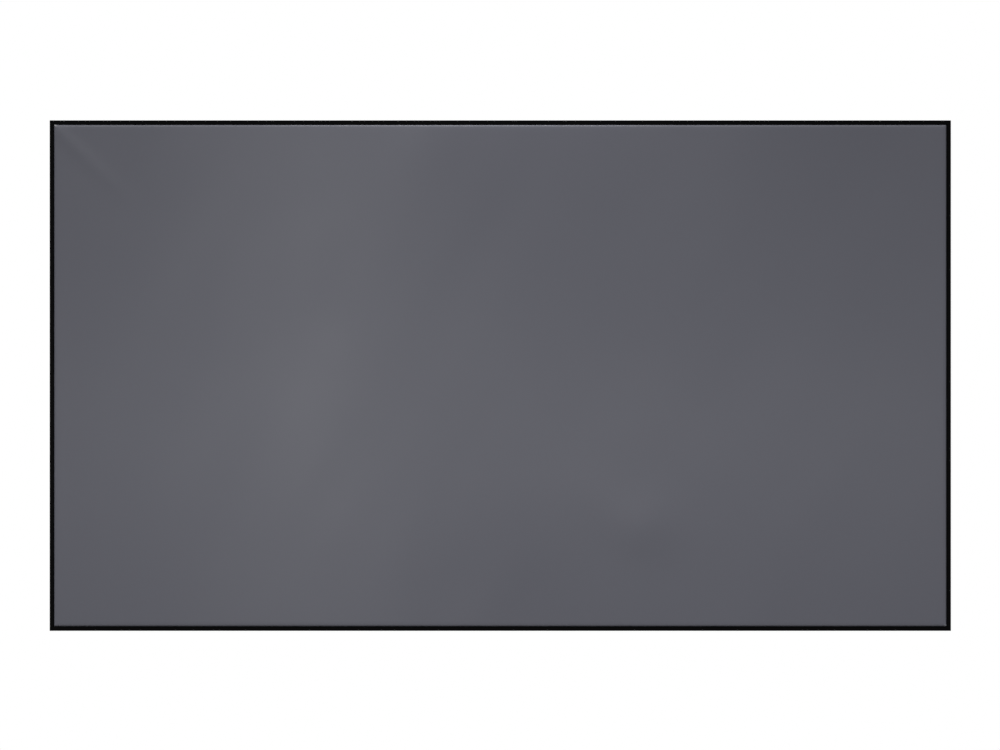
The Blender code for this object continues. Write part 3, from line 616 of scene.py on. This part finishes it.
def add_strip(work, side):
    rows = strip_points(side)
    matrix = side_matrix(side)
    points = [[work.verts.new(matrix @ Vector(point)) for point in row] for row in rows]
    flap_end = half_along(side) - NOTCH
    for i in range(len(rows) - 1):
        for j in range(len(rows[i]) - 1):
            low, high = rows[i][j][2], rows[i][j + 1][2]
            if i >= notch_row and max(abs(low), abs(high)) > flap_end + MERGE / 2:
                continue
            if i >= window_row and in_window(side, low, high):
                continue
            work.faces.new((points[i][j], points[i][j + 1], points[i + 1][j + 1], points[i + 1][j]))


def add_flat_face(work):
    xs = columns_of("top")
    zs = columns_of("left")
    grid = [[work.verts.new((x, sheet_front, z)) for x in xs] for z in zs]
    for i in range(len(zs) - 1):
        for j in range(len(xs) - 1):
            work.faces.new((grid[i][j], grid[i][j + 1], grid[i + 1][j + 1], grid[i + 1][j]))


sheet_mesh = bpy.data.meshes.new("stretched_sheet")
work = bmesh.new()
add_flat_face(work)
for side in SIDES:
    add_strip(work, side)
bmesh.ops.remove_doubles(work, verts=work.verts, dist=MERGE)
bmesh.ops.recalc_face_normals(work, faces=work.faces)
largest = max(work.faces, key=lambda face: face.calc_area())
if largest.normal.y > 0:
    bmesh.ops.reverse_faces(work, faces=work.faces)
sheet_area = sum(face.calc_area() for face in work.faces)
print("sheet faces:", len(work.faces), "open edges:", sum(edge.is_boundary for edge in work.edges))

# %% [markdown]
# ## Raising the ridges
# A ridge pushes the points near it towards the viewer. The push fades like a bell on both sides
# and sinks to nothing at the ridge's far end, and points behind the front turn stay where they
# are. A Displace modifier could push them too, but moving them here lets the sharp folds leave a
# value on the same points, which tells the material where to lay its painted highlight. A
# Solidify modifier then gives the sheet its thickness and its black back.

# %% Raise the ridges
def distance_to_line(point, start, end):
    along = max(0.0, min(1.0, (point - start).dot(end - start) / (end - start).length_squared))
    return (point - start - along * (end - start)).length, along


fold_highlight_values = work.verts.layers.float.new("fold_highlight")


def raise_ridge(first, last, height, reach, painted_highlight):
    for vert in work.verts:
        if vert.co.y > sheet_front + 2 * NOSE_RADIUS:
            continue
        away, along = distance_to_line(Vector((vert.co.x, 0, vert.co.z)), first, last)
        if away < 3 * reach:
            push = (1 - along) * math.exp(-((away / reach) ** 2))
            vert.co.y -= height * push
            # The painted highlight on the crest grows with the push.
            vert[fold_highlight_values] = min(1.0, vert[fold_highlight_values] + painted_highlight * push)


for ridge in small_ridges + wide_ridges:
    raise_ridge(*ridge)
work.to_mesh(sheet_mesh)
work.free()
sheet_mesh.shade_smooth()
sheet_mesh.materials.append(grey_face)
sheet_mesh.materials.append(black_back)
sheet = bpy.data.objects.new("stretched_sheet", sheet_mesh)
bpy.context.collection.objects.link(sheet)
skin = sheet.modifiers.new("thickness", "SOLIDIFY")
skin.thickness = SHEET_THICKNESS
skin.offset = -1
skin.use_even_offset = True
skin.material_offset = 1
skin.material_offset_rim = 1
print("sheet points:", len(sheet_mesh.vertices))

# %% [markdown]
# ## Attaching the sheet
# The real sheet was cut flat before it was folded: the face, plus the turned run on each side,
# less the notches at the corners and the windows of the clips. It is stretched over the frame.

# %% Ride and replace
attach(sheet, "root")
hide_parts("screen_sheet")

# %% [markdown]
# ## Tension rods
# A rod is a straight drawn wire with its ends slightly rounded. A curve with a round section
# could make it too, but a cylinder already has the end edges that a Bevel modifier rounds. It
# has 24 sides, which keep its outline round in a close view.

# %% Build the rods
def add_piece(name, mesh, material, matrix):
    mesh.materials.clear()
    mesh.materials.append(material)
    piece = bpy.data.objects.new(name, mesh)
    bpy.context.collection.objects.link(piece)
    piece.matrix_world = matrix
    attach(piece, "root")
    return piece


def soften(piece, width):
    bevel = piece.modifiers.new("soft_edges", "BEVEL")
    bevel.width = width
    bevel.segments = 2
    bevel.limit_method = "ANGLE"
    bevel.angle_limit = math.radians(40)


def rod_mesh(length):
    mesh = bpy.data.meshes.new("rod")
    work = bmesh.new()
    bmesh.ops.create_cone(
        work, cap_ends=True, segments=24, radius1=ROD_RADIUS, radius2=ROD_RADIUS, depth=length
    )
    work.to_mesh(mesh)
    work.free()
    mesh.shade_smooth()
    mesh.set_sharp_from_angle(angle=math.radians(40))
    return mesh


rod_count = 0
for side in SIDES:
    for node, start, end in rods_of(side):
        place = Matrix.Translation((ROD_INSET, ROD_DEPTH, (start + end) / 2))
        name = node.replace("tension_rod", "drawn_rod")
        matrix = side_matrix(side) @ place
        rod = add_piece(name, rod_mesh(end - start), rod_steel, matrix)
        soften(rod, 0.4 * MM)
        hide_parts(node)
        rod_count += 1
print("rods:", rod_count)

# %% [markdown]
# ## Spring clips
# A clip is a strip of spring steel bent four times: a hook over the rod, an arm back down to the
# rail, a leg into the slot and a toe that grips under the slot's lip. A bent strip is equally
# thick everywhere, which is hard to keep when it is cut out of a block. So its middle line is
# drawn with round bends and extruded to the strip's width, and the thickness comes later.

# %% Shape one clip
CLIP_THICKNESS = 1.2 * MM
RAIL_BACK = 26 * MM
SLOT_LIP_EDGE = SHEET_SIDE + 22.2 * MM
LIP_UNDERSIDE = 24.2 * MM
CLIP_GAP = 0.3 * MM
CLIP_RISE = 4.5 * MM
CLIP_TOE = 3.6 * MM
CLIP_BEND = 0.8 * MM
CLIP_SQUEEZE = 0.02 * MM


def rounded(points, radius, steps):
    """A path through these points with its inner corners rounded."""
    path = [Vector(points[0])]
    for before, corner, after in zip(points, points[1:], points[2:]):
        before, corner, after = Vector(before), Vector(corner), Vector(after)
        arrive = (corner - before).normalized()
        leave = (after - corner).normalized()
        turn = math.atan2(arrive.x * leave.y - arrive.y * leave.x, arrive.dot(leave))
        start = corner - arrive * radius * math.tan(abs(turn) / 2)
        across = math.copysign(1, turn) * Vector((-arrive.y, arrive.x))
        centre = start + across * radius
        first = math.atan2(-across.y, -across.x)
        angles = [first + turn * i / steps for i in range(steps + 1)]
        path += [centre + radius * Vector((math.cos(a), math.sin(a))) for a in angles]
    return [*path, Vector(points[-1])]


def clip_mesh():
    hook_radius = ROD_RADIUS + CLIP_THICKNESS / 2 + CLIP_SQUEEZE
    leg = SLOT_LIP_EDGE + CLIP_GAP + CLIP_THICKNESS / 2
    toe_depth = LIP_UNDERSIDE - CLIP_GAP - CLIP_THICKNESS / 2
    hook = [Vector(point) for point in arc((ROD_INSET, ROD_DEPTH), hook_radius, 232, 90, 18)]
    bends = [
        hook[-1],
        (leg - CLIP_RISE, ROD_DEPTH + hook_radius),
        (leg, RAIL_BACK + CLIP_GAP),
        (leg, toe_depth),
        (leg - CLIP_TOE, toe_depth),
    ]
    path = hook[:-1] + rounded(bends, CLIP_BEND, 5)
    mesh = bpy.data.meshes.new("spring_clip")
    work = bmesh.new()
    rows = [
        [work.verts.new((point.x, point.y, across * CLIP_WIDTH / 2)) for across in (-1, 1)]
        for point in path
    ]
    for first, second in zip(rows, rows[1:]):
        work.faces.new((first[0], first[1], second[1], second[0]))
    work.to_mesh(mesh)
    work.free()
    mesh.shade_smooth()
    return mesh


clip_shape = clip_mesh()
print("faces in a clip:", len(clip_shape.polygons))

# %% [markdown]
# ## Setting the clips
# All clips share that one mesh. Solidify thickens it on both sides of its middle line, and a
# Bevel takes the sharpness off the cut edges, as tumbling does in life.

# %% Set a clip at every place
clip_count = 0
for side in SIDES:
    for number, at in enumerate(clips_on[side], 1):
        matrix = side_matrix(side) @ Matrix.Translation((0, 0, at))
        clip = add_piece(f"spring_clip_{side}_{number}", clip_shape, spring, matrix)
        thicken = clip.modifiers.new("thickness", "SOLIDIFY")
        thicken.thickness = CLIP_THICKNESS
        thicken.offset = 0
        thicken.use_even_offset = True
        soften(clip, 0.3 * MM)
        clip_count += 1
print("spring clips:", clip_count)

# %% [markdown]
# ## Screws
# The screws are pan heads with a six-sided socket. Stacked cylinders would lack the crown of the
# head. So the head and the threaded shank are one turned profile, which a Screw modifier spins
# round the axis, and a Boolean sinks the socket into the head. The thread is a row of grooves
# and not a helix, because it is hidden once the screw is in. One finished mesh serves every
# screw.

# %% Turn one screw
HEAD_RADIUS = 3.7 * MM
HEAD_HEIGHT = 2.4 * MM
CROWN_RADIUS = 1.2 * MM
HEAD_EDGE = 0.15 * MM
SHANK_RADIUS = 2 * MM
SCREW_LENGTH = 8 * MM
THREAD_PITCH = 0.8 * MM
THREAD_DEPTH = 0.35 * MM
FIRST_THREAD = 0.6 * MM
POINT_LENGTH = 0.3 * MM
SOCKET_RADIUS = 1.45 * MM
SOCKET_DEPTH = 1.3 * MM
TURN_STEPS = 28


def screw_profile():
    """Half of the screw's outline, as radius and height, from the top of the head to the tip."""
    crown_centre = (HEAD_RADIUS - CROWN_RADIUS, HEAD_HEIGHT - CROWN_RADIUS)
    profile = [
        (0, HEAD_HEIGHT),
        *arc(crown_centre, CROWN_RADIUS, 90, 0, 6),
        (HEAD_RADIUS, HEAD_EDGE),
        (HEAD_RADIUS - HEAD_EDGE, 0),
        (SHANK_RADIUS, 0),
    ]
    root_radius = SHANK_RADIUS - THREAD_DEPTH
    turns = int((SCREW_LENGTH - 1 * MM) / THREAD_PITCH)
    for i in range(turns):
        crest = -FIRST_THREAD - i * THREAD_PITCH
        profile += [(SHANK_RADIUS, crest), (root_radius, crest - THREAD_PITCH / 2)]
    return [
        *profile,
        (root_radius, POINT_LENGTH - SCREW_LENGTH),
        (SHANK_RADIUS - 0.6 * MM, -SCREW_LENGTH),
        (0, -SCREW_LENGTH),
    ]


def turned_mesh(profile):
    mesh = bpy.data.meshes.new("profile")
    work = bmesh.new()
    points = [work.verts.new((radius, 0, height)) for radius, height in profile]
    for first, second in zip(points, points[1:]):
        work.edges.new((first, second))
    work.to_mesh(mesh)
    work.free()
    guide = bpy.data.objects.new("profile", mesh)
    bpy.context.collection.objects.link(guide)
    turn = guide.modifiers.new("turn", "SCREW")
    turn.steps = TURN_STEPS
    turn.render_steps = TURN_STEPS
    turn.use_merge_vertices = True
    turn.merge_threshold = 0.00001
    hexagon = bpy.data.meshes.new("socket")
    work = bmesh.new()
    bmesh.ops.create_cone(
        work,
        cap_ends=True,
        segments=6,
        radius1=SOCKET_RADIUS,
        radius2=SOCKET_RADIUS,
        depth=2 * SOCKET_DEPTH,
    )
    bmesh.ops.translate(work, verts=work.verts, vec=(0, 0, HEAD_HEIGHT))
    work.to_mesh(hexagon)
    work.free()
    socket = bpy.data.objects.new("socket", hexagon)
    bpy.context.collection.objects.link(socket)
    cut = guide.modifiers.new("socket", "BOOLEAN")
    cut.object = socket
    depsgraph = bpy.context.evaluated_depsgraph_get()
    finished = bpy.data.meshes.new_from_object(guide.evaluated_get(depsgraph))
    bpy.data.objects.remove(guide)
    bpy.data.objects.remove(socket)
    finished.shade_smooth()
    finished.set_sharp_from_angle(angle=math.radians(35))
    return finished


screw_shape = turned_mesh(screw_profile())
print("faces in a screw:", len(screw_shape.polygons))

# %% [markdown]
# ## Setting the screws
# Each screw's place is read from its solid, whose rear face is the top of the head. The screws
# point forwards, so the mesh is tipped over. Twenty-four sockets at the same angle would look
# copied, and nobody lines them up in life, so each one is spun by a random angle. A fixed seed
# gives the same angles in every run.

# %% Set a screw at every screw solid
screw_count = 0
random.seed(7)
for node in sorted(nodes):
    if "_screw_" not in node:
        continue
    low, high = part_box(node)
    middle = (low + high) / 2
    seat = Vector((middle.x, high.y - HEAD_HEIGHT, middle.z))
    spin = Matrix.Rotation(random.uniform(0, math.pi / 3), 4, "Z")
    matrix = Matrix.Translation(seat) @ Matrix.Rotation(-math.pi / 2, 4, "X") @ spin
    screw = add_piece(node.replace("_screw_", "_pan_head_"), screw_shape, screw_zinc, matrix)
    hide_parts(node)
    screw_count += 1
print("screws:", screw_count)

# %% [markdown]
# ## Floor
# The screen hangs on a wall, so nothing stands on the floor. A pale floor lies well below it and
# takes its soft shadow, and its rim fades out, so that no edge of it shows. Light that bounces
# off the floor counts for less, because light from below would fill the dark line that the real
# screen has along its lower edge, where the sheet turns away from the lamps. A Light Path node
# tells what the camera and reflections see from light that is scattered.

# %% Make the floor
FLOOR_HEIGHT = -1.5
FLOOR_RADIUS = 2.9
PALE = (0.8, 0.8, 0.8)
DIM = (0.15, 0.15, 0.15)


def seen_directly(tree):
    """1 for the camera, reflections and glass, and 0 for scattered light."""
    paths = tree.nodes.new("ShaderNodeLightPath")
    value = paths.outputs["Is Camera Ray"]
    for other in ("Is Glossy Ray", "Is Transmission Ray"):
        either = tree.nodes.new("ShaderNodeMath")
        either.operation = "MAXIMUM"
        tree.links.new(value, either.inputs[0])
        tree.links.new(paths.outputs[other], either.inputs[1])
        value = either.outputs[0]
    return value


floor_mesh = bpy.data.meshes.new("studio_floor")
work = bmesh.new()
bmesh.ops.create_circle(work, cap_ends=True, segments=96, radius=FLOOR_RADIUS)
work.to_mesh(floor_mesh)
work.free()
floor = bpy.data.objects.new("studio_floor", floor_mesh)
floor.location.z = FLOOR_HEIGHT
bpy.context.collection.objects.link(floor)
floor_finish, tree, shader = new_finish("pale_floor", PALE, 0.7, specular=0.2)
floor_tone = blend_colours(tree, seen_directly(tree), DIM, PALE)
tree.links.new(floor_tone, shader.inputs["Base Color"])
place = tree.nodes.new("ShaderNodeTexCoord")
distance = tree.nodes.new("ShaderNodeVectorMath")
distance.operation = "LENGTH"
tree.links.new(place.outputs["Object"], distance.inputs[0])
rim = (0.6 * FLOOR_RADIUS, 0.98 * FLOOR_RADIUS)
tree.links.new(spread(tree, distance.outputs["Value"], 1, 0, rim), shader.inputs["Alpha"])
floor_mesh.materials.append(floor_finish)
print("floor at", FLOOR_HEIGHT)

# %% [markdown]
# ## Background
# The background is plain white to the camera and in reflections. As a light it is dimmer, and
# dimmer still towards the ground, so that it leaves the dark line along the lower edge alone.

# %% Make the world
SKY_ABOVE = 0.6
SKY_BELOW = 0.03
world = bpy.data.worlds.new("studio")
bpy.context.scene.world = world
world.use_nodes = True
tree = world.node_tree
tree.nodes.clear()
output = tree.nodes.new("ShaderNodeOutputWorld")
direction = tree.nodes.new("ShaderNodeTexCoord")
height = tree.nodes.new("ShaderNodeSeparateXYZ")
sky = tree.nodes.new("ShaderNodeBackground")
white = tree.nodes.new("ShaderNodeBackground")
choose = tree.nodes.new("ShaderNodeMixShader")
tree.links.new(direction.outputs["Generated"], height.inputs[0])
glow = spread(tree, height.outputs["Z"], SKY_BELOW, SKY_ABOVE, (-0.2, 0.5))
tree.links.new(glow, sky.inputs["Strength"])
tree.links.new(seen_directly(tree), choose.inputs["Fac"])
tree.links.new(sky.outputs[0], choose.inputs[1])
tree.links.new(white.outputs[0], choose.inputs[2])
sky.inputs["Color"].default_value = (1, 1, 1, 1)
white.inputs["Color"].default_value = (1, 1, 1, 1)
white.inputs["Strength"].default_value = 1
tree.links.new(choose.outputs[0], output.inputs["Surface"])
print("sky from", SKY_BELOW, "to", SKY_ABOVE)

# %% [markdown]
# ## Lamps
# The photograph's light is soft, nearly even over the whole face and comes from high in front:
# the sheet's upper turn is lighter than the face and its lower turn is nearly black. A sun lamp
# with a very wide disc gives most of that, because it is equally strong all over a large flat
# thing. A narrow upright panel behind the camera is mirrored in the satin sheet, left of the
# middle, and the level ridges draw it out into a soft upright band. A wider, weaker one does the
# same on the right. A strip above the screen lights the upper turn, more in the middle than at
# the ends, and a long strip in front makes the face a little darker towards its upper and lower
# edges. One big softbox would light the whole face too, but it would be stronger near its own
# middle. Two more panels light the back, which only shows when the screen is turned round.

# %% Place the lamps
KEY_ELEVATION = math.radians(50)
KEY_AZIMUTH = math.radians(-22)
KEY_DISC = math.radians(50)


def softbox(name, place, target, size, power):
    lamp = bpy.data.lights.new(name, "AREA")
    lamp.shape = "RECTANGLE"
    lamp.size, lamp.size_y = size
    lamp.energy = power
    lamp_object = bpy.data.objects.new(name, lamp)
    bpy.context.collection.objects.link(lamp_object)
    lamp_object.location = place
    lamp_object.rotation_euler = (Vector(target) - Vector(place)).to_track_quat("-Z", "Y").to_euler()
    return lamp_object


key_lamp = bpy.data.lights.new("key_light", "SUN")
key_lamp.energy = 1.7
key_lamp.angle = KEY_DISC
key = bpy.data.objects.new("key_light", key_lamp)
bpy.context.collection.objects.link(key)
to_key = Vector((
    math.sin(KEY_AZIMUTH) * math.cos(KEY_ELEVATION),
    -math.cos(KEY_AZIMUTH) * math.cos(KEY_ELEVATION),
    math.sin(KEY_ELEVATION),
))
key.rotation_euler = (-to_key).to_track_quat("-Z", "Y").to_euler()
lamps = [
    key,
    softbox("sheen_panel", (-0.95, -8.2, 0.5), (-0.47, 0, 0.2), (0.2, 1.2), 33),
    softbox("right_sheen_panel", (0.8, -8.2, 0), (0.4, 0, 0), (0.6, 1.2), 5),
    softbox("top_strip", (-0.08, -0.13, 1.12), (-0.08, -0.03, 0.6), (1.0, 0.1), 3.8),
    softbox("front_strip", (-0.05, -1.1, -0.14), (-0.05, 0, -0.14), (2.8, 0.3), 4.1),
    softbox("back_left_panel", (1.8, 3.2, 2.2), (0, 0, 0), (2.0, 1.6), 110),
    softbox("back_right_panel", (-1.8, 3.2, 1.2), (0, 0, 0), (2.0, 1.6), 60),
]
print("lamps:", [lamp.name for lamp in lamps])

# %% [markdown]
# ## The camera
# The photograph looks straight at the middle of the screen from far away: the outline is square
# to the frame and no side shows. A long lens at eight metres does the same. The lens follows from
# the width that the picture has to take in, and the camera is a hair off centre, as the photo's.

# %% Set the camera
DISTANCE = 8.0
SENSOR = 36
PHOTO_PIXELS = 1000
OUTLINE_PIXELS = 901.5
pixel = 2 * half_width / OUTLINE_PIXELS
picture_width = PHOTO_PIXELS * pixel
camera_data = bpy.data.cameras.new("camera")
camera_data.sensor_width = SENSOR
camera_data.lens = SENSOR * DISTANCE / picture_width
camera_data.clip_end = 60
camera = bpy.data.objects.new("camera", camera_data)
bpy.context.collection.objects.link(camera)
camera.location = (-0.3 * pixel, sheet_front - DISTANCE, 0.6 * pixel)
camera.rotation_euler = (math.pi / 2, 0, 0)
bpy.context.scene.camera = camera
bpy.context.scene.view_settings.view_transform = "Standard"
print(f"lens {camera_data.lens:.1f} mm, picture {picture_width:.3f} m wide")
